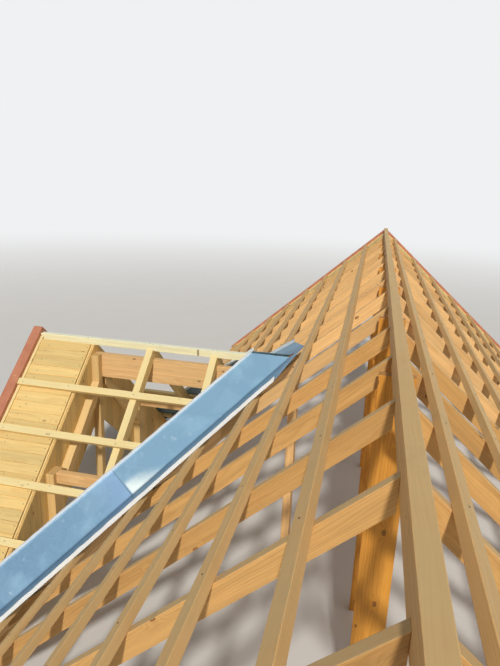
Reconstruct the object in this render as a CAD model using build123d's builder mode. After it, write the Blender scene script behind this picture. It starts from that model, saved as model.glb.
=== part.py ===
from build123d import *
import os
from math import atan, ceil, cos, floor, radians, sin, sqrt, tan

os.makedirs("parts", exist_ok=True)

# Timber gable roof frame with a lower cross gable on its left slope. Millimetres, +Z up.
# X runs across the main roof, Y along its ridge towards the far verge. The origin is the centre of the
# foot of the front king post, straight under the main ridge.

# Roof form
pitch = 41.8
rafter_run = 2640.0
tail_height = 10.0
cross_drop = 677.0
cross_centre = 1830.0

# Rafters
rafter_width = 40.0
rafter_depth = 95.0
rafter_spacing = 600.0
rafter_pairs = 16
bays_before_post = 4
post_bays = 2
post_to_rafter = 70.0
cross_rafter_width = 60.0
cross_rafter_spacing = 605.0
cross_commons = 2
gable_overrun = 30.0
valley_rafter_width = 60.0
valley_rafter_extra_depth = 15.0

# Ridges
ridge_width = 60.0
ridge_depth = 160.0
ridge_rise = 100.0
plank_width = 60.0
plank_depth = 60.0
plank_rise = 37.0
cross_beam_depth = 224.0
cross_beam_drop = 104.0
cross_beam_reach = 57.0

# Battens
batten_width = 60.0
batten_height = 40.0
batten_pitch = 440.0
batten_pitch_right = 460.0
batten_end = 60.0
first_batten_left = 330.0
first_batten_right = 130.0
first_batten_cross = 462.0
batten_valley_gap = 40.0

# Posts, plates and purlins
post_width = 180.0
post_thickness = 60.0
posts = 6
plate_width = 60.0
plate_seat = 30.0
plate_setback = 120.0
plate_past_valley = 60.0
frame_thickness = 70.0
frame_post_width = 140.0
gable_king_width = 68.0
sole_depth = 60.0
purlin_offset = 845.0
purlin_width = 60.0
purlin_depth = 96.0
purlin_seat = 8.0
strut_depth = 95.0
strut_drop = 50.0
strut_angle = 44.4

# Verges
board_width = 90.0
board_thickness = 20.0
board_gap = 1.0
board_margin = 8.0
verge_overhang = 570.0
cross_overhang = 530.0
strip_width = 25.0
strip_height = 12.0
barge_width = 90.0
barge_thickness = 50.0
barge_bearing = 60.0
barge_joint = 500.0
barge_tail = 30.0
joint_gap = 1.0
lining_width = 120.0
lining_thickness = 20.0
lining_height = 740.0

# Valley gutters
sheet = 1.0
gutter_cross_leg = 271.0
gutter_main_leg = 390.0
gutter_lip = 20.0
gutter_tail = 110.0
gutter_lap = 150.0
gutter_joint = 1460.0
gutter_clearance = 0.3
gutter_clip_x = -671.0
gutter_clip_run = 610.0
gutter_clip_side = 174.0

# Worked out from the sizes above
slope = radians(pitch)
rise = tan(slope)
plumb_depth = rafter_depth / cos(slope)
ridge_half = ridge_width / 2
plank_half = plank_width / 2
# Rafters under verge boards lie lower by the boards' thickness, and their tails clear the floor.
board_drop = board_thickness / cos(slope)
apex = rafter_run * rise + plumb_depth + board_drop + tail_height
cross_apex = apex - cross_drop
eaves = apex - rafter_run * rise
slope_length = rafter_run / cos(slope)
cross_run = (cross_apex - eaves) / rise
cross_slope_length = cross_run / cos(slope)
tail_x = ridge_half + rafter_run
first_rafter = post_thickness / 2 + post_to_rafter - bays_before_post * rafter_spacing
near_end = first_rafter - batten_end
last_rafter = first_rafter + (rafter_pairs - 1) * rafter_spacing
far_wall = last_rafter + rafter_width
top_of_all = apex + ridge_rise
cross_near = cross_centre - plank_half
# The valleys run at 45 degrees in plan, because both roofs have one pitch.
valley_apex = -ridge_half - cross_drop / rise + plank_half
valley_half = valley_rafter_width / 2
valley_depth = (rafter_depth + valley_rafter_extra_depth) / cos(atan(rise / sqrt(2)))
gable_rafter = -tail_x - gable_overrun
gable_face = gable_rafter + cross_rafter_width
frame_face = gable_face + lining_thickness
plate_x = tail_x - plate_setback - plate_width / 2
plate_depth = eaves - plumb_depth + plate_setback * rise + plate_seat
main_verge = far_wall + verge_overhang
cross_verge = gable_rafter - cross_overhang
main_barge = main_verge - barge_bearing
cross_barge = cross_verge + barge_bearing
purlin_top = cross_apex - (purlin_offset - plank_half + purlin_width / 2) * rise - plumb_depth + purlin_seat
purlin_end = valley_apex - purlin_offset
beam_top = cross_apex - cross_beam_drop
cross_beam_end = valley_apex + cross_beam_reach
plank_bottom = cross_apex + plank_rise - plank_depth


def across(y):
    """Upright plane facing the front, with X to the right and Z up."""
    return Plane(origin=(0, y, 0), x_dir=(1, 0, 0), z_dir=(0, -1, 0))


def main_point(side, down, height):
    """Point of the main roof's section, a distance down the slope and a height above the rafters."""
    x = ridge_half + down * cos(slope) + height * sin(slope)
    return (side * x, apex - down * sin(slope) + height * cos(slope))


def cross_point(side, down, height):
    """The same for the cross gable's section, where side is -1 for its front slope."""
    y = plank_half + down * cos(slope) + height * sin(slope)
    return (cross_centre + side * y, cross_apex - down * sin(slope) + height * cos(slope))


def outline(points):
    """Face inside straight lines through the points."""
    with BuildLine() as border:
        Polyline(*points, close=True)
    make_face(border.edges())


def slope_strip(point, side, start, end, low, high):
    """Section of a timber that lies square on a slope."""
    outline([point(side, start, low), point(side, end, low), point(side, end, high), point(side, start, high)])


def rafter_section(centre, side, half, top, run, drop):
    """Section of a rafter with plumb cuts at the ridge and at the tail."""
    inner = centre + side * half
    outer = centre + side * (half + run)
    head = top - drop / cos(slope)
    outline([
        (inner, head),
        (outer, head - run * rise),
        (outer, head - run * rise - plumb_depth),
        (inner, head - plumb_depth),
    ])


def valley_plan(margin):
    """Plan of the cross gable between its valleys, each moved out by a margin."""
    point = valley_apex + margin * sqrt(2)
    reach = 2 * tail_x
    outline([(point, cross_centre), (point - reach, cross_centre - reach), (point - reach, cross_centre + reach)])


def cut_for_cross_gable(margin):
    """Clear the cross gable's plan out of the part being built."""
    with BuildSketch(Plane.XY) as plan:
        valley_plan(margin)
    extrude(plan.sketch, amount=top_of_all, mode=Mode.SUBTRACT)


def keep_between_valleys(margin):
    """Keep only what lies between the valleys."""
    with BuildSketch(Plane.XY) as plan:
        valley_plan(-margin)
    extrude(plan.sketch, amount=top_of_all, mode=Mode.INTERSECT)


def batten_starts(first, gauge, length):
    """Distance down a slope to the upper edge of each of its battens."""
    rows = 1 + floor((length - first - batten_width) / gauge)
    return [first + row * gauge for row in range(rows)]


def box_between(x, y, z):
    """Block from its lowest to its highest corner, each given as a pair."""
    with BuildSketch(Plane.XY.offset(z[0])) as plan:
        with Locations(((x[0] + x[1]) / 2, (y[0] + y[1]) / 2)):
            Rectangle(x[1] - x[0], y[1] - y[0])
    extrude(plan.sketch, amount=z[1] - z[0])


def save(builder, name):
    builder.part.label = name
    export_step(builder.part, f"parts/{name}.step")


# Main ridge beam, notched at the far end so that the barge boards meet over it
with BuildPart() as ridge_beam:
    with BuildSketch(across(near_end)):
        with Locations((0, apex + ridge_rise - ridge_depth / 2)):
            Rectangle(ridge_width, ridge_depth)
    extrude(amount=near_end - main_verge)
    with BuildSketch(across(main_barge)):
        with Locations((0, apex + ridge_rise / 2)):
            Rectangle(ridge_width, ridge_rise)
    extrude(amount=main_barge - main_verge, mode=Mode.SUBTRACT)
save(ridge_beam, "ridge_beam")


def rafter_pair(y, drop, seated):
    """Left and right rafter at one place along the ridge."""
    with BuildPart() as pair:
        with BuildSketch(across(y)):
            for side in (-1, 1):
                rafter_section(0, side, ridge_half, apex, rafter_run, drop)
            if seated:
                with Locations((-plate_x, plate_depth / 2), (plate_x, plate_depth / 2)):
                    Rectangle(plate_width, plate_depth, mode=Mode.SUBTRACT)
        extrude(amount=-rafter_width)
        cut_for_cross_gable(valley_half)
    return pair


for number in range(rafter_pairs):
    y = first_rafter + number * rafter_spacing
    last = number == rafter_pairs - 1
    pair = rafter_pair(y, board_thickness if last else 0, True)
    save(pair, f"rafter_pair_{number + 1:02d}")

save(rafter_pair(main_verge - rafter_width, board_thickness, False), "verge_rafters")

# Battens of the main roof
right_battens = batten_starts(first_batten_right, batten_pitch_right, slope_length)
left_battens = batten_starts(first_batten_left, batten_pitch, slope_length)

with BuildPart() as battens_right:
    with BuildSketch(across(near_end)):
        for start in right_battens:
            slope_strip(main_point, 1, start, start + batten_width, 0, batten_height)
    extrude(amount=near_end - main_barge)
save(battens_right, "battens_right")

with BuildPart() as battens_left:
    with BuildSketch(across(near_end)):
        for start in left_battens:
            slope_strip(main_point, -1, start, start + batten_width, 0, batten_height)
    extrude(amount=near_end - main_barge)
    cut_for_cross_gable(batten_valley_gap)
save(battens_left, "battens_left")

# King posts under the ridge beam
for number in range(posts):
    with BuildPart() as king_post:
        with BuildSketch(Plane.XY):
            with Locations((0, number * post_bays * rafter_spacing)):
                Rectangle(post_width, post_thickness)
        extrude(amount=apex + ridge_rise - ridge_depth)
    save(king_post, f"king_post_{number + 1}")

# Wall plates, on edge, with the left one stopped just past each valley
plate_stop = plate_past_valley - plate_x - valley_apex + cross_centre


def wall_plate(x, y_start, y_end):
    with BuildPart() as plate:
        box_between((x - plate_width / 2, x + plate_width / 2), (y_start, y_end), (0, plate_depth))
    return plate


save(wall_plate(plate_x, first_rafter, far_wall), "wall_plate_right")
save(wall_plate(-plate_x, first_rafter, plate_stop), "wall_plate_left_front")
save(wall_plate(-plate_x, 2 * cross_centre - plate_stop, far_wall), "wall_plate_left_back")

# Cross gable: ridge plank with its end cut to fit between the valley rafters
with BuildPart() as cross_ridge_plank:
    box_between(
        (cross_barge, valley_apex),
        (cross_near, cross_centre + plank_half),
        (plank_bottom, cross_apex + plank_rise),
    )
    box_between(
        (cross_verge, cross_barge),
        (cross_near, cross_centre + plank_half),
        (plank_bottom, cross_apex),
    )
    keep_between_valleys(valley_half)
save(cross_ridge_plank, "cross_ridge_plank")

with BuildPart() as cross_ridge_beam:
    box_between(
        (frame_face, cross_beam_end),
        (cross_near, cross_centre + plank_half),
        (beam_top - cross_beam_depth, beam_top),
    )
save(cross_ridge_beam, "cross_ridge_beam")


def cut_seats():
    """Cut the seats for the deep ridge beam and both purlins out of the sketch being drawn."""
    with Locations((cross_centre, beam_top - cross_beam_depth / 2)):
        Rectangle(plank_width, cross_beam_depth, mode=Mode.SUBTRACT)
    for side in (-1, 1):
        with Locations((cross_centre + side * purlin_offset, purlin_top - purlin_depth / 2)):
            Rectangle(purlin_width, purlin_depth, mode=Mode.SUBTRACT)


def cross_pair(x, drop, seated):
    """Front and back rafter of the cross gable, which meet in a mitre under its ridge plank."""
    inner = joint_gap / 2
    with BuildPart() as pair:
        with BuildSketch(Plane.YZ.offset(x)):
            for side in (-1, 1):
                peak = cross_apex + (plank_half - inner) * rise
                rafter_section(cross_centre, side, inner, peak, cross_run + plank_half - inner, drop)
            with Locations((cross_centre, plank_bottom + plank_depth / 2)):
                Rectangle(plank_width, plank_depth, mode=Mode.SUBTRACT)
            if seated:
                cut_seats()
        extrude(amount=cross_rafter_width)
        keep_between_valleys(valley_half)
    return pair


save(cross_pair(gable_rafter, board_thickness, False), "gable_rafters")
for number in range(cross_commons):
    x = gable_rafter + (number + 1) * cross_rafter_spacing
    save(cross_pair(x, 0, True), f"cross_rafters_{number + 1}")
save(cross_pair(cross_verge, board_thickness, False), "cross_verge_rafters")

# Battens of the cross gable
cross_starts = batten_starts(first_batten_cross, batten_pitch, cross_slope_length)


def cross_battens(side):
    with BuildPart() as battens:
        with BuildSketch(Plane.YZ.offset(cross_barge)):
            for start in cross_starts:
                slope_strip(cross_point, side, start, start + batten_width, 0, batten_height)
        extrude(amount=valley_apex - cross_barge)
        keep_between_valleys(batten_valley_gap)
    return battens


save(cross_battens(-1), "cross_battens_front")
save(cross_battens(1), "cross_battens_back")

# Gable wall frame: sole plate, king post, queen posts and struts
frame_x = (frame_face, frame_face + frame_thickness)
post_half = frame_post_width / 2
purlin_bottom = purlin_top - purlin_depth
sole_half = valley_apex - valley_half * sqrt(2) - frame_face

with BuildPart() as gable_sole_plate:
    box_between(frame_x, (cross_centre - sole_half, cross_centre + sole_half), (0, sole_depth))
save(gable_sole_plate, "gable_sole_plate")

with BuildPart() as gable_king_post:
    box_between(frame_x, (cross_near - gable_king_width, cross_near), (sole_depth, beam_top))
save(gable_king_post, "gable_king_post")

with BuildPart() as gable_queen_posts:
    for side in (-1, 1):
        y = cross_centre + side * purlin_offset
        box_between(frame_x, (y - post_half, y + post_half), (sole_depth, purlin_top))
save(gable_queen_posts, "gable_queen_posts")

with BuildPart() as gable_struts:
    strut_start = purlin_offset - post_half
    strut_plumb = strut_depth / cos(radians(strut_angle))
    foot = purlin_bottom - strut_drop
    with BuildSketch(Plane.YZ.offset(frame_face)):
        for side, strut_end in ((-1, plank_half + gable_king_width), (1, plank_half)):
            outer = cross_centre + side * strut_start
            inner = cross_centre + side * strut_end
            head = foot + (strut_start - strut_end) * tan(radians(strut_angle))
            outline([(outer, foot - strut_plumb), (inner, head - strut_plumb), (inner, head), (outer, foot)])
    extrude(amount=frame_thickness)
save(gable_struts, "gable_struts")

with BuildPart() as cross_purlins:
    for side in (-1, 1):
        y = cross_centre + side * purlin_offset
        box_between(
            (frame_face + frame_thickness, purlin_end),
            (y - purlin_width / 2, y + purlin_width / 2),
            (purlin_bottom, purlin_top),
        )
save(cross_purlins, "cross_purlins")

with BuildPart() as valley_post:
    box_between(
        (cross_beam_end - frame_thickness, cross_beam_end),
        (cross_centre - post_half, cross_centre + post_half),
        (0, beam_top - cross_beam_depth),
    )
save(valley_post, "valley_post")

# Valley rafters, seated on the wall plate, the purlin and the deep ridge beam
valley_corner = Vector(-tail_x, cross_centre + valley_apex + tail_x - 2 * (valley_apex + tail_x), 0)
valley_side = Plane(origin=valley_corner, x_dir=(1, 1, 0), z_dir=(1, -1, 0))
valley_length = (cross_centre - valley_corner.Y) * sqrt(2)
valley_rise = rise / sqrt(2)
cross_mirror = Plane(origin=(0, cross_centre, 0), z_dir=(0, 1, 0))

with BuildPart() as valley_rafter_front:
    with BuildSketch(valley_side):
        length = valley_length + valley_rafter_width
        outline([
            (0, eaves),
            (length, eaves + length * valley_rise),
            (length, eaves + length * valley_rise - valley_depth),
            (0, eaves - valley_depth),
        ])
    extrude(amount=valley_half, both=True)
    split(bisect_by=cross_mirror.offset(-joint_gap / 2), keep=Keep.BOTTOM)
    for part in (cross_ridge_beam, cross_purlins):
        add(part.part, mode=Mode.SUBTRACT)
    with BuildSketch(Plane.XY):
        with Locations((-plate_x, (first_rafter + plate_stop) / 2)):
            Rectangle(plate_width, plate_stop - first_rafter)
    extrude(amount=plate_depth, mode=Mode.SUBTRACT)
save(valley_rafter_front, "valley_rafter_front")

with BuildPart() as valley_rafter_back:
    add(mirror(valley_rafter_front.part, about=cross_mirror, mode=Mode.PRIVATE))
save(valley_rafter_back, "valley_rafter_back")


def row_of_boards(point, side, length):
    """Sections of the boards that close a verge from the ridge down to the tail."""
    start = board_thickness * rise + joint_gap
    while start < length - board_gap:
        end = min(start + board_width, length)
        slope_strip(point, side, start, end, -board_thickness, 0)
        start = end + board_gap


for side, name in ((-1, "verge_boards_left"), (1, "verge_boards_right")):
    with BuildPart() as verge_boards:
        with BuildSketch(across(last_rafter + board_margin)):
            row_of_boards(main_point, side, slope_length)
        extrude(amount=last_rafter + board_margin - main_verge)
    save(verge_boards, name)

for side, name in ((-1, "cross_verge_boards_front"), (1, "cross_verge_boards_back")):
    with BuildPart() as verge_boards:
        with BuildSketch(Plane.YZ.offset(cross_verge)):
            row_of_boards(cross_point, side, cross_slope_length)
        extrude(amount=gable_face - board_margin - cross_verge)
        keep_between_valleys(valley_half)
    save(verge_boards, name)


def row_of_strips(point, side, battens, length):
    """Sections of the strips that run down beside a barge board, between the battens."""
    starts = [0] + [start + batten_width for start in battens]
    for start, end in zip(starts, battens + [length]):
        slope_strip(point, side, start + joint_gap, end - joint_gap, 0, strip_height)


with BuildPart() as verge_strips:
    with BuildSketch(across(main_barge)):
        row_of_strips(main_point, -1, left_battens, slope_length)
        row_of_strips(main_point, 1, right_battens, slope_length)
    extrude(amount=strip_width)
save(verge_strips, "verge_strips")

with BuildPart() as cross_verge_strips:
    with BuildSketch(Plane.YZ.offset(cross_barge)):
        for side in (-1, 1):
            row_of_strips(cross_point, side, cross_starts, cross_slope_length)
    extrude(amount=strip_width)
save(cross_verge_strips, "cross_verge_strips")


def barge_section(centre, side, half, top, run):
    """Section of the barge boards of one slope, mitred at the apex and jointed once."""
    head = top + half * rise
    lift = barge_thickness / cos(slope)
    split_at = half + barge_joint * cos(slope)
    for start, end in ((joint_gap / 2, split_at), (split_at + joint_gap, half + run + barge_tail)):
        outline([
            (centre + side * start, head - start * rise),
            (centre + side * end, head - end * rise),
            (centre + side * end, head - end * rise + lift),
            (centre + side * start, head - start * rise + lift),
        ])


with BuildPart() as barge_boards:
    with BuildSketch(across(main_barge)):
        for side in (-1, 1):
            barge_section(0, side, ridge_half, apex, rafter_run)
    extrude(amount=-barge_width)
save(barge_boards, "barge_boards")

with BuildPart() as cross_barge_boards:
    with BuildSketch(Plane.YZ.offset(cross_barge)):
        for side in (-1, 1):
            barge_section(cross_centre, side, plank_half, cross_apex, cross_run)
    extrude(amount=-barge_width)
save(cross_barge_boards, "cross_barge_boards")

# Vertical boards inside the gable rafters, which line a band of the gable wall under each slope
with BuildPart() as gable_lining:
    count = ceil(2 * sole_half / (lining_width + board_gap))
    width = 2 * sole_half / count - board_gap
    lining_peak = cross_apex + plank_half * rise - board_drop
    lining_eaves = lining_peak - sole_half * rise
    lining_foot = (lining_peak - lining_height) / rise
    with BuildSketch(Plane.YZ.offset(gable_face)):
        for number in range(count):
            y = cross_centre - sole_half + (number + 0.5) * (width + board_gap)
            with Locations((y, cross_apex / 2)):
                Rectangle(width, cross_apex)
        with BuildLine():
            Polyline(
                (cross_centre - sole_half, 0),
                (cross_centre - sole_half, lining_eaves),
                (cross_centre, lining_peak),
                (cross_centre + sole_half, lining_eaves),
                (cross_centre + sole_half, 0),
                (cross_centre + lining_foot, 0),
                (cross_centre, lining_peak - lining_height),
                (cross_centre - lining_foot, 0),
                close=True,
            )
        make_face(mode=Mode.INTERSECT)
        with Locations((cross_centre, plank_bottom + plank_depth / 2)):
            Rectangle(plank_width, plank_depth, mode=Mode.SUBTRACT)
    extrude(amount=lining_thickness)
save(gable_lining, "gable_lining")

# Valley gutters: a folded sheet with an upturned lip along each side, in two lapped lengths
fold_direction = Vector(1, 1, rise).normalized()
leg_angle = atan(rise / sqrt(rise * rise + 2))
fold_lift = batten_height / cos(slope)
fold_length = sqrt(2 + rise * rise) / sqrt(2)


def gutter_section(cross_leg, main_leg):
    """Open V with lips, its fold at the origin."""
    points = []
    for side, leg in ((1, cross_leg), (-1, main_leg)):
        along = Vector(side * cos(leg_angle), sin(leg_angle))
        up = Vector(-side * sin(leg_angle), cos(leg_angle))
        outer = along * leg
        points.append([outer, outer + up * gutter_lip, outer + up * gutter_lip - along * sheet])
        points[-1].append(outer - along * sheet + up * sheet)
    (a0, a1, a2, a3), (b0, b1, b2, b3) = points
    fold_top = Vector(0, sheet / cos(leg_angle))
    outline([tuple(p)[:2] for p in (a1, a0, Vector(0, 0), b0, b1, b2, b3, fold_top, a3, a2)])


def gutter_plane(distance, lift):
    """Plane square to the fold, a distance up the valley from the eaves corner."""
    base = valley_corner + Vector(0, 0, eaves + fold_lift) + fold_direction * distance
    plane = Plane(origin=base, x_dir=(-1, 1, 0), z_dir=fold_direction)
    return Plane(origin=base + plane.y_dir * lift, x_dir=(-1, 1, 0), z_dir=fold_direction)


with BuildPart() as gutter_front_lower:
    with BuildSketch(gutter_plane(-gutter_tail, 0)):
        gutter_section(gutter_cross_leg, gutter_main_leg)
    extrude(amount=gutter_tail + gutter_joint + gutter_lap)
save(gutter_front_lower, "gutter_front_lower")

with BuildPart() as gutter_front_upper:
    with BuildSketch(gutter_plane(gutter_joint, sheet / cos(leg_angle))):
        inset = sheet * (1 + tan(leg_angle)) + gutter_clearance
        gutter_section(gutter_cross_leg - inset, gutter_main_leg - inset)
    extrude(amount=valley_length * fold_length - gutter_joint + gutter_main_leg)
    split(bisect_by=cross_mirror.offset(-joint_gap / 2), keep=Keep.BOTTOM)
    with BuildSketch(Plane.XY):
        far = gutter_clip_x + 2 * gutter_main_leg
        near_y = cross_centre - gutter_clip_run
        outline([
            (gutter_clip_x, cross_centre),
            (gutter_clip_x - gutter_clip_side, near_y),
            (far, near_y - gutter_main_leg),
            (far, cross_centre),
        ])
        with Locations((valley_apex, cross_near - joint_gap)):
            Rectangle(gutter_main_leg, 2 * plank_width, align=(Align.MAX, Align.MIN))
    extrude(amount=top_of_all, mode=Mode.SUBTRACT)
save(gutter_front_upper, "gutter_front_upper")

for front, name in ((gutter_front_lower, "gutter_back_lower"), (gutter_front_upper, "gutter_back_upper")):
    with BuildPart() as gutter_back:
        add(mirror(front.part, about=cross_mirror, mode=Mode.PRIVATE))
    save(gutter_back, name)
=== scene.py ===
import math
import random

import bpy
import numpy as np
from mathutils import Matrix, Vector


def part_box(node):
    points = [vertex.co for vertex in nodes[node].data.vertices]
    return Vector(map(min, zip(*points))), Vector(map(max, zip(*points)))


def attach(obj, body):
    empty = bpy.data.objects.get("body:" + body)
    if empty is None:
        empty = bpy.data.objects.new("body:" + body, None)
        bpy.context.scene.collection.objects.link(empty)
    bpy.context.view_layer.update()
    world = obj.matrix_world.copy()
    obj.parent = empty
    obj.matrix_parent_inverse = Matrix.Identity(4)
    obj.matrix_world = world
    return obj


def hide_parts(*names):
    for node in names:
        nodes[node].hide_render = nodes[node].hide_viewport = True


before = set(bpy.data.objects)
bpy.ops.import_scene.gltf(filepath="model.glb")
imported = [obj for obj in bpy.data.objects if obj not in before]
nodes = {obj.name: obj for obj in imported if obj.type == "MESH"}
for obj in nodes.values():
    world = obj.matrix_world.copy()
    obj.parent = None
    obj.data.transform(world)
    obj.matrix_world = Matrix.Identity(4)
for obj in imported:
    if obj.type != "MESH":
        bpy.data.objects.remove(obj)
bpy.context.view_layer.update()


def rows_of_battens(first, gauge, rows):
    """Distance down a slope to the upper edge of each row."""
    return [first + gauge * row for row in range(rows)]


# Sizes of the roof, in metres, as the frame has them
pitch = math.radians(41.8)
ridge_half = 0.03
ridge_rise = 0.1
rafter_run = 2.64
tail_x = 2.67
rafter_pairs = 16
king_posts = 6
batten_width = 0.06
batten_height = 0.04
left_battens = rows_of_battens(first=0.33, gauge=0.44, rows=8)
right_battens = rows_of_battens(first=0.13, gauge=0.46, rows=8)
cross_battens = rows_of_battens(first=0.462, gauge=0.44, rows=5)
board_rows = 39
board_width = 0.09
board_pitch = 0.091
first_board = 0.0189
cross_centre = 1.83
cross_drop = 0.677
plank_rise = 0.037
plank_to_valley = 0.0424
gutter_joint = 1.46
gutter_lip = 0.02

# Places that follow from them
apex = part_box("ridge_beam")[1].z - ridge_rise
cross_apex = apex - cross_drop
valley_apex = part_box("cross_ridge_plank")[1].x + plank_to_valley
valley_foot = Vector((-tail_x, cross_centre - valley_apex - tail_x, apex - rafter_run * math.tan(pitch)))
leg_angle = math.atan(math.tan(pitch) / math.sqrt(math.tan(pitch) ** 2 + 2))
along_roof = (0, 1, 0)
across_roof = (1, 0, 0)
upright = (0, 0, 1)


# Node trees

def put(tree, socket, value):
    """Link an input to another socket, or set it to a value."""
    if isinstance(value, bpy.types.NodeSocket):
        tree.links.new(value, socket)
    else:
        socket.default_value = value


def add_node(tree, kind, inputs=None, **settings):
    """A node with its settings, and its inputs linked to sockets or set to values."""
    made = tree.nodes.new(kind)
    for name, value in settings.items():
        setattr(made, name, value)
    for name, value in (inputs or {}).items():
        put(tree, made.inputs[name], value)
    return made


def calculate(tree, operation, *values, clamp=False):
    """Result of one sum on sockets or numbers."""
    made = add_node(tree, "ShaderNodeMath", dict(enumerate(values)), operation=operation, use_clamp=clamp)
    return made.outputs[0]


def ease(tree, value, low, high, start=0.0, end=1.0):
    """Smooth step of a value from one number to another."""
    limits = {"Value": value, "From Min": low, "From Max": high, "To Min": start, "To Max": end}
    return add_node(tree, "ShaderNodeMapRange", limits, interpolation_type="SMOOTHSTEP").outputs["Result"]


def noise(tree, vector, scale, detail, roughness=0.5):
    """Cloudy value from 0 to 1 over the coordinates."""
    inputs = {"Vector": vector, "Scale": scale, "Detail": detail, "Roughness": roughness}
    return add_node(tree, "ShaderNodeTexNoise", inputs).outputs["Fac"]


def blend_colour(tree, factor, first, second, kind="MIX"):
    """Mix of two colours by a factor."""
    made = add_node(tree, "ShaderNodeMix", data_type="RGBA", blend_type=kind)
    sockets = [s for s in made.inputs if s.enabled]
    for socket, value in zip(sockets, (factor, first, second)):
        put(tree, socket, value)
    return next(s for s in made.outputs if s.enabled)


def tinted(tree, factor, base, tint):
    """Colour moved by a factor towards itself times a tint."""
    return blend_colour(tree, factor, base, blend_colour(tree, 1.0, base, tint, "MULTIPLY"))


def stretched(tree, vector, scale, shift=None):
    """Coordinates scaled along each axis, and moved on by a vector."""
    made = add_node(tree, "ShaderNodeVectorMath", {0: vector, 1: scale}, operation="MULTIPLY")
    if shift is not None:
        made = add_node(tree, "ShaderNodeVectorMath", {0: made.outputs[0], 1: shift}, operation="ADD")
    return made.outputs[0]


def on_mesh(tree, name, part="Fac"):
    """What a piece's mesh carries under a name."""
    return add_node(tree, "ShaderNodeAttribute", attribute_name=name).outputs[part]


def object_place(tree):
    return add_node(tree, "ShaderNodeTexCoord").outputs["Object"]


def seen_directly(tree):
    """One for what the camera or a reflection sees, nought for what only lights."""
    path = add_node(tree, "ShaderNodeLightPath")
    return calculate(tree, "MAXIMUM", path.outputs["Is Camera Ray"], path.outputs["Is Glossy Ray"])


def new_group(name, inputs, outputs):
    group = bpy.data.node_groups.new(name, "ShaderNodeTree")
    for label, kind, value in inputs:
        socket = group.interface.new_socket(name=label, in_out="INPUT", socket_type=f"NodeSocket{kind}")
        if value is not None:
            socket.default_value = value
    for label, kind in outputs:
        group.interface.new_socket(name=label, in_out="OUTPUT", socket_type=f"NodeSocket{kind}")
    return group, group.nodes.new("NodeGroupInput"), group.nodes.new("NodeGroupOutput")


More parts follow.
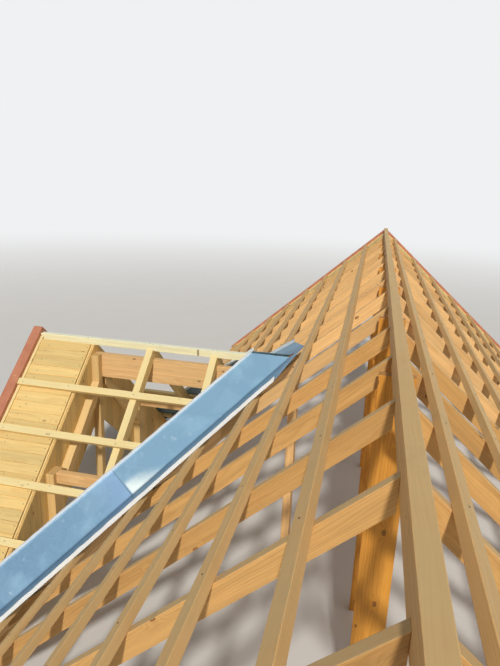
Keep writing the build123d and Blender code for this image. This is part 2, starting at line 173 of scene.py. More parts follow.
def softwood_group():
    """Growth rings, fibre and knots of a sawn timber, cut out of the solid log."""
    group, given, result = new_group(
        "softwood",
        [
            ("Grain", "Vector", None),
            ("Timber", "Vector", None),
            ("Early Wood", "Color", (0.6, 0.35, 0.12, 1)),
            ("Late Wood", "Color", (0.4, 0.18, 0.05, 1)),
            ("Knot", "Color", (0.14, 0.05, 0.015, 1)),
            ("Ring Width", "Float", 0.006),
            ("Ring Contrast", "Float", 0.6),
            ("Knot Share", "Float", 0.5),
            ("Variation", "Float", 0.25),
        ],
        [("Color", "Color"), ("Height", "Float")],
    )
    grain = given.outputs["Grain"]
    timber = given.outputs["Timber"]
    chance = add_node(group, "ShaderNodeSeparateXYZ", {0: timber})
    far_away = stretched(group, timber, (31.0, 47.0, 59.0))

    # Knots run through the thickness of a timber, as the branches did
    knots_per_metre = (3.2, 6.0, 0.0)
    smallest_knot = 0.02
    knot_growth = 0.045
    knot_bend_reach = 0.24
    knot_place = stretched(group, grain, knots_per_metre, far_away)
    knots = add_node(group, "ShaderNodeTexVoronoi", {"Vector": knot_place, "Scale": 1.0, "Randomness": 0.9},
                     voronoi_dimensions="2D")
    knot_kind = add_node(group, "ShaderNodeSeparateColor", {0: knots.outputs["Color"]})
    knot_there = calculate(group, "LESS_THAN", knot_kind.outputs[0], given.outputs["Knot Share"])
    knot_radius = calculate(group, "MULTIPLY_ADD", knot_kind.outputs[1], knot_growth, smallest_knot)
    knot_radius = calculate(group, "MULTIPLY", knot_radius, knot_there)
    distance = knots.outputs["Distance"]
    from_rim = calculate(group, "DIVIDE", distance, calculate(group, "MAXIMUM", knot_radius, 0.001))
    knot_mask = calculate(group, "MULTIPLY", ease(group, from_rim, 0.75, 1.1, 1.0, 0.0), knot_there)
    push = calculate(group, "MULTIPLY", ease(group, distance, 0.0, knot_bend_reach, 1.0, 0.0), knot_there)

    # Rings round a pith up to 80 mm to either side and 25 to 155 mm behind the timber's middle,
    # bent by slow waves and by the knots
    wave_bend = 0.045
    knot_bend = 0.016
    warp = noise(group, stretched(group, grain, (1.3, 10.0, 10.0), far_away), 1.0, 2.0)
    parts = add_node(group, "ShaderNodeSeparateXYZ", {0: grain})
    pith_wide = calculate(group, "MULTIPLY_ADD", chance.outputs[0], 0.16, -0.08)
    pith_deep = calculate(group, "MULTIPLY_ADD", chance.outputs[1], -0.13, -0.025)
    wide = calculate(group, "SUBTRACT", parts.outputs[1], pith_wide)
    deep = calculate(group, "SUBTRACT", parts.outputs[2], pith_deep)
    wide_square = calculate(group, "MULTIPLY", wide, wide)
    deep_square = calculate(group, "MULTIPLY", deep, deep)
    radius = calculate(group, "SQRT", calculate(group, "ADD", wide_square, deep_square))
    radius = calculate(group, "MULTIPLY_ADD", warp, wave_bend, radius)
    radius = calculate(group, "MULTIPLY_ADD", push, knot_bend, radius)
    ring = calculate(group, "FRACT", calculate(group, "DIVIDE", radius, given.outputs["Ring Width"]))
    late = calculate(group, "MULTIPLY", ease(group, ring, 0.3, 0.88), ease(group, ring, 0.9, 1.0, 1.0, 0.0))
    ring_share = calculate(group, "MULTIPLY", late, given.outputs["Ring Contrast"], clamp=True)
    colour = blend_colour(group, ring_share, given.outputs["Early Wood"], given.outputs["Late Wood"])

    # Each timber's own tone, with streaks along the grain and fine fibre
    streak = noise(group, stretched(group, grain, (1.1, 34.0, 34.0), far_away), 1.0, 4.0, 0.6)
    fibre = noise(group, stretched(group, grain, (12.0, 420.0, 420.0), far_away), 1.0, 2.0)
    tone = calculate(group, "MULTIPLY_ADD", chance.outputs[2], given.outputs["Variation"], 1.0)
    tone = calculate(group, "MULTIPLY_ADD", given.outputs["Variation"], -0.5, tone)
    tone = calculate(group, "MULTIPLY", tone, ease(group, streak, 0.2, 0.8, 0.86, 1.12))
    tone = calculate(group, "MULTIPLY", tone, ease(group, fibre, 0.2, 0.8, 0.93, 1.06))
    shade = add_node(group, "ShaderNodeCombineColor", {0: tone, 1: tone, 2: tone})
    colour = blend_colour(group, 1.0, colour, shade.outputs[0], "MULTIPLY")
    warm = calculate(group, "MULTIPLY", chance.outputs[0], 0.35)
    colour = tinted(group, warm, colour, (1.0, 0.86, 0.68, 1))
    rim = calculate(group, "MULTIPLY", knot_mask, ease(group, from_rim, 0.3, 0.9, 0.62, 0.95))
    colour = blend_colour(group, rim, colour, given.outputs["Knot"])

    # Late wood, fibre and knots stand a little proud
    height = calculate(group, "MULTIPLY_ADD", late, 0.35, calculate(group, "MULTIPLY", fibre, 0.65))
    height = calculate(group, "MULTIPLY_ADD", knot_mask, 0.5, height)
    group.links.new(colour, result.inputs["Color"])
    group.links.new(height, result.inputs["Height"])
    return group


def exposure_group():
    """Upward faces greyer, dark stains from dust and arrises scuffed by handling, on bare timber."""
    group, given, result = new_group(
        "exposure",
        [
            ("Color", "Color", (0.6, 0.4, 0.2, 1)),
            ("Object", "Vector", None),
            ("Normal", "Vector", None),
            ("Arris", "Float", 0.0),
            ("End", "Float", 0.0),
            ("Greyed", "Color", (0.4, 0.33, 0.22, 1)),
            ("Greying", "Float", 0.5),
            ("Staining", "Float", 0.3),
        ],
        [("Color", "Color"), ("Roughness", "Float")],
    )
    stain_tint = (0.5, 0.4, 0.32, 1)
    scuff_tint = (1.3, 1.22, 1.1, 1)
    end_tint = (0.72, 0.6, 0.46, 1)
    end_share = 0.55
    place = given.outputs["Object"]
    clouds = noise(group, place, 3.1, 5.0, 0.62)
    specks = noise(group, place, 34.0, 3.0, 0.7)
    facing = add_node(group, "ShaderNodeSeparateXYZ", {0: given.outputs["Normal"]})
    upward = ease(group, facing.outputs[2], 0.25, 0.8)

    greying = calculate(group, "MULTIPLY", upward, given.outputs["Greying"])
    greying = calculate(group, "MULTIPLY", greying, ease(group, clouds, 0.2, 0.75, 0.6, 1.15), clamp=True)
    colour = blend_colour(group, greying, given.outputs["Color"], given.outputs["Greyed"])
    stain = calculate(group, "MULTIPLY", ease(group, clouds, 0.52, 0.78), given.outputs["Staining"])
    stain = calculate(group, "MULTIPLY", stain, ease(group, specks, 0.3, 0.7, 0.4, 1.0), clamp=True)
    colour = tinted(group, stain, colour, stain_tint)
    wear = ease(group, specks, 0.35, 0.6, 0.15, 0.75)
    colour = tinted(group, calculate(group, "MULTIPLY", given.outputs["Arris"], wear), colour, scuff_tint)
    ends = calculate(group, "MULTIPLY", given.outputs["End"], end_share)
    colour = tinted(group, ends, colour, end_tint)
    group.links.new(colour, result.inputs["Color"])
    group.links.new(ease(group, specks, 0.2, 0.8, 0.55, 0.78), result.inputs["Roughness"])
    return group


softwood = softwood_group()
exposure = exposure_group()


# Materials

def colour(red, green, blue):
    """Linear colour of one picked on screen, each part from 0 to 255."""
    def linear(part):
        part /= 255
        return part / 12.92 if part <= 0.04045 else ((part + 0.055) / 1.055) ** 2.4
    return (linear(red), linear(green), linear(blue), 1)


def new_material(name):
    material = bpy.data.materials.new(name)
    material.use_nodes = True
    tree = material.node_tree
    return material, tree, tree.nodes["Principled BSDF"]


def finish_shader(tree, shader, base, roughness, height, strength, distance=0.001):
    """Join colour, roughness and a fine bump to the shader."""
    bump = add_node(tree, "ShaderNodeBump", {"Strength": strength, "Distance": distance, "Height": height})
    tree.links.new(base, shader.inputs["Base Color"])
    tree.links.new(roughness, shader.inputs["Roughness"])
    tree.links.new(bump.outputs["Normal"], shader.inputs["Normal"])


def timber_material(name, early, late, greyed, greying, contrast, staining=0.3, ring_width=0.006, knots=0.5,
                    variation=0.25):
    """Sawn softwood whose figure follows each timber's own grain."""
    material, tree, shader = new_material(name)
    surface = add_node(tree, "ShaderNodeNewGeometry")
    wood = add_node(tree, "ShaderNodeGroup", {
        "Grain": on_mesh(tree, "grain", "Vector"),
        "Timber": on_mesh(tree, "timber", "Vector"),
        "Early Wood": colour(*early),
        "Late Wood": colour(*late),
        "Ring Width": ring_width,
        "Ring Contrast": contrast,
        "Knot Share": knots,
        "Variation": variation,
    }, node_tree=softwood)
    worn = add_node(tree, "ShaderNodeGroup", {
        "Color": wood.outputs["Color"],
        "Object": object_place(tree),
        "Normal": surface.outputs["True Normal"],
        "Arris": on_mesh(tree, "arris"),
        "End": on_mesh(tree, "end_grain"),
        "Greyed": colour(*greyed),
        "Greying": greying,
        "Staining": staining,
    }, node_tree=exposure)
    finish_shader(tree, shader, worn.outputs["Color"], worn.outputs["Roughness"], wood.outputs["Height"],
                  strength=0.35)
    shader.inputs["Specular IOR Level"].default_value = 0.3
    return material


def paint_material():
    """Red-brown paint on the barge boards, dusty, with bare wood at the worn arrises."""
    material, tree, shader = new_material("barge_paint")
    clouds = noise(tree, object_place(tree), 6.0, 6.0, 0.65)
    brush = noise(tree, stretched(tree, on_mesh(tree, "grain", "Vector"), (4.0, 160.0, 160.0)), 1.0, 3.0)
    paint = blend_colour(tree, ease(tree, clouds, 0.3, 0.7), colour(172, 104, 76), colour(188, 124, 92))
    paint = blend_colour(tree, ease(tree, brush, 0.35, 0.75, 0.0, 0.35), paint, colour(198, 142, 114))
    chips = calculate(tree, "MULTIPLY", on_mesh(tree, "arris"), ease(tree, clouds, 0.56, 0.66, 0.0, 0.8))
    paint = blend_colour(tree, chips, paint, colour(214, 170, 118))
    finish_shader(tree, shader, paint, ease(tree, clouds, 0.3, 0.7, 0.42, 0.62), brush, 0.3)
    return material


def galvanised_material():
    """Galvanised sheet, its blue a painted sky reflection, with paler patches, a painted highlight on the
    lips and a near-white patch above the lap.
    """
    material, tree, shader = new_material("galvanised_sheet")
    place = object_place(tree)
    lip = on_mesh(tree, "lip")
    along = on_mesh(tree, "from_lap")
    across = on_mesh(tree, "from_fold")
    spangle = add_node(tree, "ShaderNodeTexVoronoi", {"Vector": place, "Scale": 70.0})
    cell = add_node(tree, "ShaderNodeSeparateColor", {0: spangle.outputs["Color"]})
    patches = add_node(tree, "ShaderNodeTexVoronoi", {"Vector": place, "Scale": 4.2})
    patch = add_node(tree, "ShaderNodeSeparateColor", {0: patches.outputs["Color"]})
    clouds = noise(tree, place, 5.0, 3.0)
    dust = noise(tree, place, 16.0, 6.0, 0.7)

    # Below the lap the lower sheet is paler, and a painted shadow line follows the upper one's end
    pale_end = calculate(tree, "MULTIPLY", ease(tree, along, -0.3, -0.02, 0.0, 0.5),
                         ease(tree, along, -0.003, 0.0, 1.0, 0.0))
    lap_shadow_line = calculate(tree, "MULTIPLY", ease(tree, along, -0.012, -0.004),
                         ease(tree, along, -0.001, 0.001, 0.5, 0.0))
    # Painted shade: the leg on the main roof is darker, most of all beside the fold where shade falls
    main_leg_painted_shade = calculate(tree, "MULTIPLY", ease(tree, across, -0.006, 0.0, 1.0, 0.0),
                         ease(tree, across, -0.22, -0.01, 0.05, 0.55))
    # A near-white patch lies on the upper sheet above the lap, drawn out along the fold
    run = calculate(tree, "MULTIPLY_ADD", dust, 0.1, calculate(tree, "MULTIPLY_ADD", across, 1.6, along))
    pale_lap_patch = calculate(tree, "MULTIPLY", ease(tree, along, 0.0, 0.015), ease(tree, run, 0.12, 0.42, 1.0, 0.0))
    pale_lap_patch = calculate(tree, "MULTIPLY", pale_lap_patch, ease(tree, across, 0.07, 0.13, 1.0, 0.0))
    pale_lap_patch = calculate(tree, "MULTIPLY", pale_lap_patch, ease(tree, across, -0.008, 0.004, 0.0, 0.95))

    # The blue in this base tone and in the tones mixed into it is a painted sky reflection
    zinc_with_painted_sky = colour(104, 139, 168)
    for share, tone in (
        (ease(tree, cell.outputs[0], 0.0, 1.0), (112, 147, 175)),
        (ease(tree, along, -1.3, 0.6), (120, 158, 184)),
        (ease(tree, patch.outputs[0], 0.55, 0.75, 0.0, 0.25), (138, 172, 196)),
        (ease(tree, clouds, 0.5, 0.72, 0.0, 0.55), (140, 178, 202)),
        (ease(tree, dust, 0.62, 0.72, 0.0, 0.6), (190, 208, 220)),
        (pale_end, (136, 166, 206)),
        # painted shade on the main roof's leg, deepest beside the fold
        (main_leg_painted_shade, (54, 84, 116)),
        # painted shadow under the upper sheet's end
        (lap_shadow_line, (52, 70, 88)),
        (pale_lap_patch, (224, 236, 234)),
        # painted highlight: the lips are painted near white, as if they caught the light
        (lip, (228, 233, 235)),
    ):
        zinc_with_painted_sky = blend_colour(tree, share, zinc_with_painted_sky, colour(*tone))
    roughness = ease(tree, cell.outputs[1], 0.0, 1.0, 0.48, 0.6)
    finish_shader(tree, shader, zinc_with_painted_sky, roughness, clouds, 0.3, 0.012)
    # Lip faces are not metallic, so their painted highlight stays near white
    sheet_metallic = 0.3
    metallic = calculate(tree, "MULTIPLY_ADD", lip, -sheet_metallic, sheet_metallic)
    tree.links.new(metallic, shader.inputs["Metallic"])
    return material


def nail_material():
    """Wire nails, dulled in places."""
    material, tree, shader = new_material("nail_steel")
    dull = noise(tree, object_place(tree), 40.0, 2.0)
    steel = blend_colour(tree, ease(tree, dull, 0.35, 0.65), colour(120, 112, 104), colour(70, 58, 48))
    tree.links.new(steel, shader.inputs["Base Color"])
    tree.links.new(ease(tree, dull, 0.35, 0.65, 0.35, 0.6), shader.inputs["Roughness"])
    shader.inputs["Metallic"].default_value = 0.8
    return material


# Early wood, late wood, greyed top and how far it is greyed
rafter_pine = timber_material("rafter_pine", (200, 158, 98), (168, 116, 58), (202, 176, 130), 0.75,
                              contrast=0.28, variation=0.3)
batten_pine = timber_material("batten_pine", (220, 176, 116), (186, 138, 82), (206, 178, 128), 0.8,
                              contrast=0.34, ring_width=0.007, variation=0.3)
post_pine = timber_material("post_pine", (214, 150, 60), (180, 112, 36), (188, 158, 112), 0.5,
                            contrast=0.4, ring_width=0.009, knots=0.65)
pale_pine = timber_material("pale_pine", (232, 208, 146), (210, 172, 104), (230, 216, 164), 0.7,
                            contrast=0.35, staining=0.15, ring_width=0.007, variation=0.12)
beam_pine = timber_material("beam_pine", (231, 192, 136), (204, 151, 94), (230, 198, 146), 0.3,
                            contrast=0.35, staining=0.15, ring_width=0.008, variation=0.12)
frame_pine = timber_material("frame_pine", (220, 190, 132), (198, 156, 98), (226, 202, 148), 0.35,
                             contrast=0.32, staining=0.15, ring_width=0.008, variation=0.12)
bleached_pine = timber_material("bleached_pine", (242, 236, 194), (228, 212, 158), (244, 248, 226), 0.9,
                                contrast=0.3, staining=0.1, ring_width=0.007, variation=0.1)
far_pine = timber_material("far_pine", (226, 186, 128), (194, 142, 82), (204, 174, 128), 0.75,
                           contrast=0.26, variation=0.3)
lining_pine = timber_material("lining_pine", (223, 194, 129), (197, 152, 85), (224, 200, 138), 0.4,
                              contrast=0.38, staining=0.12, ring_width=0.009, variation=0.32)
barge_paint = paint_material()
galvanised = galvanised_material()
nail_steel = nail_material()


# Timbers

def store(mesh, name, domain, values):
    """Keep a number or a vector for each point or face of a mesh."""
    values = np.asarray(values, np.float32)
    kind, field = ("FLOAT_VECTOR", "vector") if values.ndim == 2 else ("FLOAT", "value")
    layer = mesh.attributes.new(name, kind, domain)
    layer.data.foreach_set(field, values.ravel())


def timber_groups(mesh):
    """Number of the separate timber that each vertex belongs to."""
    group = np.arange(len(mesh.vertices))
    edges = np.array([e.vertices[:] for e in mesh.edges])
    while True:
        low = np.minimum(group[edges[:, 0]], group[edges[:, 1]])
        before = group.copy()
        np.minimum.at(group, edges[:, 0], low)
        np.minimum.at(group, edges[:, 1], low)
        if (group == before).all():
            return group


def longest_edge(mesh, members):
    """Direction of a timber's longest edge, which its grain follows."""
    best = Vector((0, 0, 1))
    length = 0.0
    for edge in mesh.edges:
        if edge.vertices[0] in members:
            run = mesh.vertices[edge.vertices[1]].co - mesh.vertices[edge.vertices[0]].co
            if run.length > length:
                best, length = run.normalized(), run.length
    return best


def mark_grain(piece, direction, seed):
    """Give every timber of a piece its own place in the log, and mark its arrises and end grain."""
    side_tilt = 0.1
    end_tilt = 0.5
    mesh = piece.data
    group = timber_groups(mesh)
    points = np.array([v.co[:] for v in mesh.vertices])
    grain = np.zeros((len(points), 3), np.float32)
    timber = np.zeros((len(points), 3), np.float32)
    end_grain = np.zeros(len(mesh.polygons), np.float32)
    faces = {}
    for face in mesh.polygons:
        faces.setdefault(group[face.vertices[0]], []).append(face)
    chance = random.Random(seed)
    for name in sorted(set(group)):
        members = np.flatnonzero(group == name)
        along = Vector(direction) if direction else longest_edge(mesh, set(members))
        sides = (face for face in faces[name] if abs(face.normal.dot(along)) < side_tilt)
        widest = max(sides, key=lambda face: face.area)
        through = (widest.normal - along * widest.normal.dot(along)).normalized()
        wide = through.cross(along)
        box = points[members]
        centre = (box.min(0) + box.max(0)) / 2
        turned = np.array([along[:], wide[:], through[:]])
        grain[members] = (box - centre) @ turned.T
        timber[members] = (chance.random(), chance.random(), chance.random())
        for face in faces[name]:
            end_grain[face.index] = float(abs(face.normal.dot(along)) > end_tilt)
    store(mesh, "grain", "POINT", grain)
    store(mesh, "timber", "POINT", timber)
    store(mesh, "end_grain", "FACE", end_grain)
    store(mesh, "arris", "FACE", [float(face.material_index == 1) for face in mesh.polygons])


def copy_of(node, name, material):
    """Copy of a node's mesh, merged into clean faces and selected."""
    same_point = 0.0001
    same_plane = math.radians(1)
    bpy.ops.object.select_all(action="DESELECT")
    piece = bpy.data.objects.new(name, nodes[node].data.copy())
    bpy.context.collection.objects.link(piece)
    bpy.context.view_layer.objects.active = piece
    piece.select_set(True)
    piece.data.materials.clear()
    piece.data.materials.append(material)
    for face in piece.data.polygons:
        face.material_index = 0
    bpy.ops.object.mode_set(mode="EDIT")
    bpy.ops.mesh.select_all(action="SELECT")
    bpy.ops.mesh.remove_doubles(threshold=same_point)
    bpy.ops.mesh.dissolve_limited(angle_limit=same_plane)
    bpy.ops.object.mode_set(mode="OBJECT")
    return piece


def dress_timbers(name, material, direction, arris):
    """Timbers on the solids' own faces, with their arrises eased, in place of the frame's plain ones."""
    piece = copy_of(name, f"{name}_timber", material)
    # A second material slot marks the bevel's faces until the arrises are stored
    piece.data.materials.append(material)
    bevel = piece.modifiers.new("eased_arrises", "BEVEL")
    bevel.width = arris
    bevel.segments = 2
    bevel.limit_method = "ANGLE"
    bevel.angle_limit = math.radians(35)
    bevel.material = 1
    bevel.use_clamp_overlap = True
    bpy.ops.object.modifier_apply(modifier=bevel.name)
    mark_grain(piece, direction, name)
    for face in piece.data.polygons:
        face.material_index = 0
    piece.data.materials.pop(index=1)
    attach(piece, "root")
    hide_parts(name)


# How far the arrises of timbers, strips, boards and barge boards are eased
timber_arris = 0.0025
strip_arris = 0.001
board_arris = 0.003
barge_arris = 0.004

# The rafters past these are paler
near_pairs = 6
pair_names = [f"rafter_pair_{number + 1:02d}" for number in range(rafter_pairs)]
post_names = [f"king_post_{number + 1}" for number in range(king_posts)]

for slot, wood, direction, arris, names in (
    ("roof_timber", batten_pine, along_roof, timber_arris, ["ridge_beam"]),
    ("roof_timber", rafter_pine, None, timber_arris, pair_names[:near_pairs]),
    ("roof_timber", far_pine, None, timber_arris, pair_names[near_pairs:] + ["verge_rafters"]),
    ("batten_timber", batten_pine, along_roof, timber_arris, ["battens_right", "battens_left"]),
    ("roof_timber", post_pine, upright, timber_arris, post_names),
    ("roof_timber", rafter_pine, along_roof, timber_arris,
     ["wall_plate_right", "wall_plate_left_front", "wall_plate_left_back"]),
    ("roof_timber", beam_pine, None, timber_arris,
     ["valley_rafter_front", "valley_rafter_back", "valley_post"]),
    ("pale_timber", pale_pine, None, timber_arris,
     ["gable_rafters", "cross_rafters_1", "cross_rafters_2", "cross_verge_rafters"]),
    ("pale_timber", frame_pine, None, timber_arris,
     ["gable_sole_plate", "gable_king_post", "gable_queen_posts", "gable_struts"]),
    ("pale_timber", beam_pine, across_roof, timber_arris, ["cross_ridge_beam", "cross_purlins"]),
    ("pale_timber", bleached_pine, across_roof, timber_arris, ["cross_ridge_plank"]),
    ("pale_timber", pale_pine, across_roof, timber_arris, ["cross_battens_front", "cross_battens_back"]),
    ("pale_timber", pale_pine, None, strip_arris, ["verge_strips", "cross_verge_strips"]),
    ("lining_board", lining_pine, along_roof, board_arris, ["verge_boards_left", "verge_boards_right"]),
    ("lining_board", lining_pine, across_roof, board_arris,
     ["cross_verge_boards_front", "cross_verge_boards_back"]),
    ("lining_board", lining_pine, upright, board_arris, ["gable_lining"]),
    ("red_paint", barge_paint, None, barge_arris, ["barge_boards", "cross_barge_boards"]),
):
    for name in names:
        dress_timbers(name, wood, direction, arris)


# Valley gutters
fold_direction = Vector((1, 1, math.tan(pitch))).normalized()
fold_across = Vector((-1, 1, 0)).normalized()
fold_up = fold_direction.cross(fold_across)
fold_foot = valley_foot + Vector((0, 0, batten_height / math.cos(pitch)))


def turned(direction, back):
    """A direction at the front valley, or the same one at the back valley."""
    return Vector((direction.x, -direction.y if back else direction.y, direction.z))


def moved(point, back):
    """A point at one valley, or for a back gutter its mirror image at the other."""
    return Vector((point.x, 2 * cross_centre - point.y if back else point.y, point.z))


def in_fold(point, back):
    """Place of a point along the fold, across it and above it, for a front or a back gutter."""
    run = moved(point, back) - fold_foot
    return run.dot(fold_direction), run.dot(fold_across), run.dot(fold_up)


def lip_height(place):
    """Height of a place over the leg that it stands on, square to the leg."""
    _, reach, above = place
    return above * math.cos(leg_angle) - abs(reach) * math.sin(leg_angle)


def buckle(piece, name, size, depth, strength, middle_level, direction, group=None):
    """Press soft dents into a sheet along one axis, or only into a group of its points."""
    texture = bpy.data.textures.new(name, "CLOUDS")
    texture.noise_scale = size
    texture.noise_depth = depth
    press = piece.modifiers.new(name, "DISPLACE")
    press.texture = texture
    press.texture_coords = "LOCAL"
    press.direction = direction
    press.mid_level = middle_level
    press.strength = strength
    if group:
        press.vertex_group = group
    bpy.ops.object.modifier_apply(modifier=name)


def fan_lips(piece, places, back):
    """Lean the cross gable's lip outwards and draw the main roof's lip up."""
    lip_edge = gutter_lip - 0.002
    outward_lean, outward_rise, upward_draw = 0.004, 0.001, 0.009
    up = turned(fold_up, back)
    across = turned(fold_across, back)
    for side, move in ((1, outward_lean * across + outward_rise * up), (-1, upward_draw * up)):
        for vertex, place in zip(piece.data.vertices, places):
            vertex.select = lip_height(place) > lip_edge and place[1] * side > 0
        bpy.ops.object.mode_set(mode="EDIT")
        bpy.ops.transform.translate(value=move)
        bpy.ops.object.mode_set(mode="OBJECT")


def cut_into_bands(back):
    """Cut the selected sheet across the fold and along it, so that it can take dents."""
    station_gap = 0.037
    stations = range(-3, 92)
    reaches = (-0.328, -0.24, -0.16, -0.08, -0.01, 0.01, 0.08, 0.16, 0.224)
    foot = moved(fold_foot, back)
    along = turned(fold_direction, back)
    across = turned(fold_across, back)
    cuts = [(along, station_gap * station) for station in stations]
    cuts += [(across, reach) for reach in reaches]
    bpy.ops.object.mode_set(mode="EDIT")
    for direction, distance in cuts:
        bpy.ops.mesh.select_all(action="SELECT")
        bpy.ops.mesh.bisect(plane_co=foot + direction * distance, plane_no=direction)
    bpy.ops.mesh.select_mode(type="VERT")
    bpy.ops.mesh.select_all(action="DESELECT")
    bpy.ops.object.mode_set(mode="OBJECT")


def dress_gutter(name, lap):
    """Folded sheet as it came from the bench, a little dented, with lips that wander."""
    above_leg = 0.004
    lip_face = 0.006
    piece = copy_of(name, f"{name}_sheet", galvanised)
    back = "back" in name
    cut_into_bands(back)
    places = [in_fold(vertex.co, back) for vertex in piece.data.vertices]
    heights = [lip_height(place) for place in places]
    lips = piece.vertex_groups.new(name="lips")
    lips.add([number for number, height in enumerate(heights) if height > above_leg], 1.0, "REPLACE")
    on_lip = []
    for face in piece.data.polygons:
        mean_height = sum(heights[v] for v in face.vertices) / len(face.vertices)
        on_lip.append(float(mean_height > lip_face))
    fan_lips(piece, places, back)
    buckle(piece, "dents", size=0.22, depth=2, strength=0.006, middle_level=0.0, direction="Z")
    buckle(piece, "wandering_lip", size=0.09, depth=1, strength=0.012, middle_level=0.5, direction="X",
           group="lips")
    piece.vertex_groups.clear()
    store(piece.data, "lip", "FACE", on_lip)
    store(piece.data, "from_lap", "POINT", [place[0] - lap for place in places])
    store(piece.data, "from_fold", "POINT", [place[1] for place in places])
    bpy.ops.object.shade_smooth_by_angle(angle=math.radians(30))
    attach(piece, "root")
    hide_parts(name)


for name in ("gutter_front_lower", "gutter_front_upper", "gutter_back_lower", "gutter_back_upper"):
    dress_gutter(name, gutter_joint)


# Nail heads

def nail_pattern():
    """One wire nail's head, a low round boss, ready to be copied."""
    head_radius = 0.004
    head_height = 0.0036
    rim = 0.0009
    bpy.ops.object.select_all(action="DESELECT")
    bpy.ops.mesh.primitive_cylinder_add(vertices=10, radius=head_radius, depth=head_height)
    pattern = bpy.context.object
    bpy.ops.object.mode_set(mode="EDIT")
    bpy.ops.mesh.select_mode(type="FACE")
    bpy.ops.mesh.select_all(action="DESELECT")
    bpy.ops.object.mode_set(mode="OBJECT")
    for face in pattern.data.polygons:
        face.select = face.normal.z > 0.9
    bpy.ops.object.mode_set(mode="EDIT")
    bpy.ops.mesh.bevel(offset=rim, segments=1)
    bpy.ops.object.mode_set(mode="OBJECT")
    return pattern


def drive_nails(name, places, seed):
    """Heads of the nails at the given places, each with the direction that its face looks."""
    most_lean = 0.08
    chance = random.Random(seed)
    pattern = nail_pattern()
    heads = []
    for place, outward in places:
        head = bpy.data.objects.new("head", pattern.data.copy())
        bpy.context.collection.objects.link(head)
        lean = Vector((chance.uniform(-most_lean, most_lean), chance.uniform(-most_lean, most_lean), 0))
        turn = (outward + lean).to_track_quat("Z", "Y").to_matrix().to_4x4()
        head.data.transform(Matrix.Translation(place) @ turn)
        heads.append(head)
    bpy.data.objects.remove(pattern)
    bpy.ops.object.select_all(action="DESELECT")
    for head in heads:
        head.select_set(True)
    bpy.context.view_layer.objects.active = heads[0]
    bpy.ops.object.join()
    piece = bpy.context.object
    piece.name = name
    piece.data.materials.clear()
    piece.data.materials.append(nail_steel)
    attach(piece, "root")


def main_slope(side, down, height, y):
    """Point over the main roof and the way its slope faces."""
    x = ridge_half + down * math.cos(pitch) + height * math.sin(pitch)
    z = apex - down * math.sin(pitch) + height * math.cos(pitch)
    return Vector((side * x, y, z)), Vector((side * math.sin(pitch), 0, math.cos(pitch)))


def cross_slope(side, down, height, x):
    """The same over the cross gable, where side is -1 for its front slope."""
    y = ridge_half + down * math.cos(pitch) + height * math.sin(pitch)
    z = cross_apex - down * math.sin(pitch) + height * math.cos(pitch)
    return Vector((x, cross_centre + side * y, z)), Vector((0, side * math.sin(pitch), math.cos(pitch)))


def middle(node, axis):
    low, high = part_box(node)
    return (low[axis] + high[axis]) / 2


main_rafters = [middle(name, 1) for name in pair_names]
cross_rafters = [middle(name, 0) for name in ("gable_rafters", "cross_rafters_1", "cross_rafters_2")]
verge_rafter = middle("verge_rafters", 1)
cross_verge_rafter = middle("cross_verge_rafters", 0)
scatter = random.Random(7)


def about(reach):
    """Small slip of the hand to either side."""
    return scatter.uniform(-reach, reach)


def down_batten(start):
    """Distance down the slope of a nail somewhere near a batten's middle."""
    return start + batten_width * scatter.uniform(0.35, 0.65)


# No nail comes nearer than this to a valley, measured along the battens
valley_margin = 0.12

batten_nails = []
for side, starts in ((-1, left_battens), (1, right_battens)):
    for start in starts:
        for y in main_rafters + [verge_rafter]:
            down = down_batten(start)
            place, outward = main_slope(side, down, batten_height, y + about(0.008))
            if abs(y - cross_centre) > valley_apex - place.x + valley_margin:
                batten_nails.append((place, outward))
drive_nails("batten_nails", batten_nails, 11)

# The cross battens' outer nails stand inside the verge rafters' line
batten_nail_inset = 0.09
cross_nails = []
for side in (-1, 1):
    for start in cross_battens:
        for x in cross_rafters + [cross_verge_rafter + batten_nail_inset]:
            down = down_batten(start)
            place, outward = cross_slope(side, down, batten_height, x + about(0.01))
            if abs(place.y - cross_centre) < valley_apex - x - valley_margin:
                cross_nails.append((place, outward))
for x in cross_rafters:
    for step in (-0.02, 0.018):
        place = Vector((x + step, cross_centre + about(0.012), cross_apex + plank_rise))
        cross_nails.append((place, Vector((0, 0, 1))))
drive_nails("cross_gable_nails", cross_nails, 12)

board_nail_inset = 0.14
main_boards_end = 3.5
cross_boards_end = 2.45
board_nails = []
for number in range(board_rows):
    down = first_board + board_pitch * number + board_width / 2
    for side in (-1, 1):
        if down < main_boards_end:
            for y in (main_rafters[-1], verge_rafter):
                step = about(0.02)
                board_nails.append(main_slope(side, down + step, 0, y + about(0.006)))
        if down < cross_boards_end:
            for x in (cross_rafters[0], cross_verge_rafter + board_nail_inset):
                step = about(0.02)
                board_nails.append(cross_slope(side, down + step, 0, x + about(0.008)))
drive_nails("verge_board_nails", board_nails, 13)


# Stage, light and camera

backdrop_colour = colour(240, 241, 242)


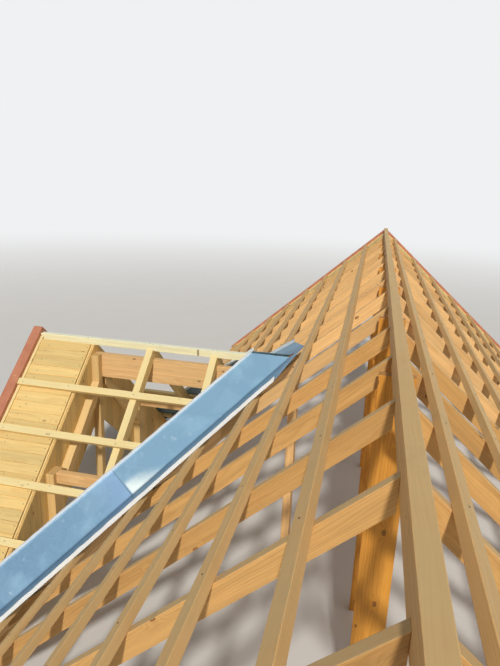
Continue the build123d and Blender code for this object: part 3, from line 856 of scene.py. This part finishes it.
def place_floor():
    """Wide pale floor that fades into the pale backdrop."""
    floor_radius = 200
    fade_start = 9.0
    fade_end = 34.0
    bpy.ops.object.select_all(action="DESELECT")
    bpy.ops.mesh.primitive_circle_add(vertices=64, radius=floor_radius, fill_type="NGON")
    floor = bpy.context.object
    floor.name = "studio_floor"
    material, tree, shader = new_material("studio_floor")
    place = object_place(tree)
    speckle = noise(tree, place, 1.5, 4.0)
    pale = blend_colour(tree, speckle, colour(214, 213, 210), colour(220, 219, 217))
    tree.links.new(pale, shader.inputs["Base Color"])
    shader.inputs["Roughness"].default_value = 0.9
    away = add_node(tree, "ShaderNodeVectorMath", {0: place}, operation="LENGTH").outputs["Value"]
    fade = calculate(tree, "MULTIPLY", ease(tree, away, fade_start, fade_end), seen_directly(tree))
    glow = add_node(tree, "ShaderNodeEmission", {"Color": backdrop_colour, "Strength": 1.0})
    mixed = add_node(tree, "ShaderNodeMixShader", {0: fade, 1: shader.outputs[0], 2: glow.outputs[0]})
    tree.links.new(mixed.outputs[0], tree.nodes["Material Output"].inputs["Surface"])
    floor.data.materials.append(material)


def hang_lamp(name, aim, strength, spread, tint):
    """Far lamp that shines along a direction, its spread in degrees."""
    lamp = bpy.data.lights.new(name, "SUN")
    lamp.energy = strength
    lamp.angle = math.radians(spread)
    lamp.color = tint
    holder = bpy.data.objects.new(name, lamp)
    holder.rotation_mode = "QUATERNION"
    holder.rotation_quaternion = Vector(aim).to_track_quat("-Z", "Y")
    bpy.context.collection.objects.link(holder)


def light_studio():
    """Pale world that lights softly, a warm key lamp and a wide cool fill."""
    ambient = 0.26
    world = bpy.data.worlds.new("studio")
    bpy.context.scene.world = world
    world.use_nodes = True
    tree = world.node_tree
    backdrop = tree.nodes["Background"]
    backdrop.inputs["Color"].default_value = backdrop_colour
    strength = ease(tree, seen_directly(tree), 0.0, 1.0, ambient, 1.0)
    tree.links.new(strength, backdrop.inputs["Strength"])
    hang_lamp("key", (-0.1, 0.8, -0.59), strength=2.75, spread=3, tint=(1.0, 0.96, 0.9))
    hang_lamp("fill", (-0.75, 0.2, -0.6), strength=0.25, spread=40, tint=(0.92, 0.96, 1.0))


def place_camera():
    """Camera over the near end of the ridge, looking down the left slope."""
    yaw, tip, roll = math.radians(12.371), math.radians(15.779), math.radians(2.132)
    above_apex = 0.8392
    stand = (-0.1729, -2.6226, apex + above_apex)
    right = Vector((math.cos(yaw), math.sin(yaw), 0))
    ahead = Vector((-math.sin(yaw) * math.cos(tip), math.cos(yaw) * math.cos(tip), -math.sin(tip)))
    up = right.cross(ahead)
    turned_right = right * math.cos(roll) + up * math.sin(roll)
    turned_up = up * math.cos(roll) - right * math.sin(roll)
    lens = bpy.data.cameras.new("camera")
    lens.sensor_width = 36
    lens.lens = 29.51
    lens.clip_start = 0.02
    lens.clip_end = 500
    camera = bpy.data.objects.new("camera", lens)
    turn = Matrix((turned_right, turned_up, -ahead)).transposed()
    camera.matrix_world = Matrix.Translation(stand) @ turn.to_4x4()
    bpy.context.collection.objects.link(camera)
    bpy.context.scene.camera = camera


place_floor()
light_studio()
place_camera()
bpy.context.scene.view_settings.view_transform = "Standard"
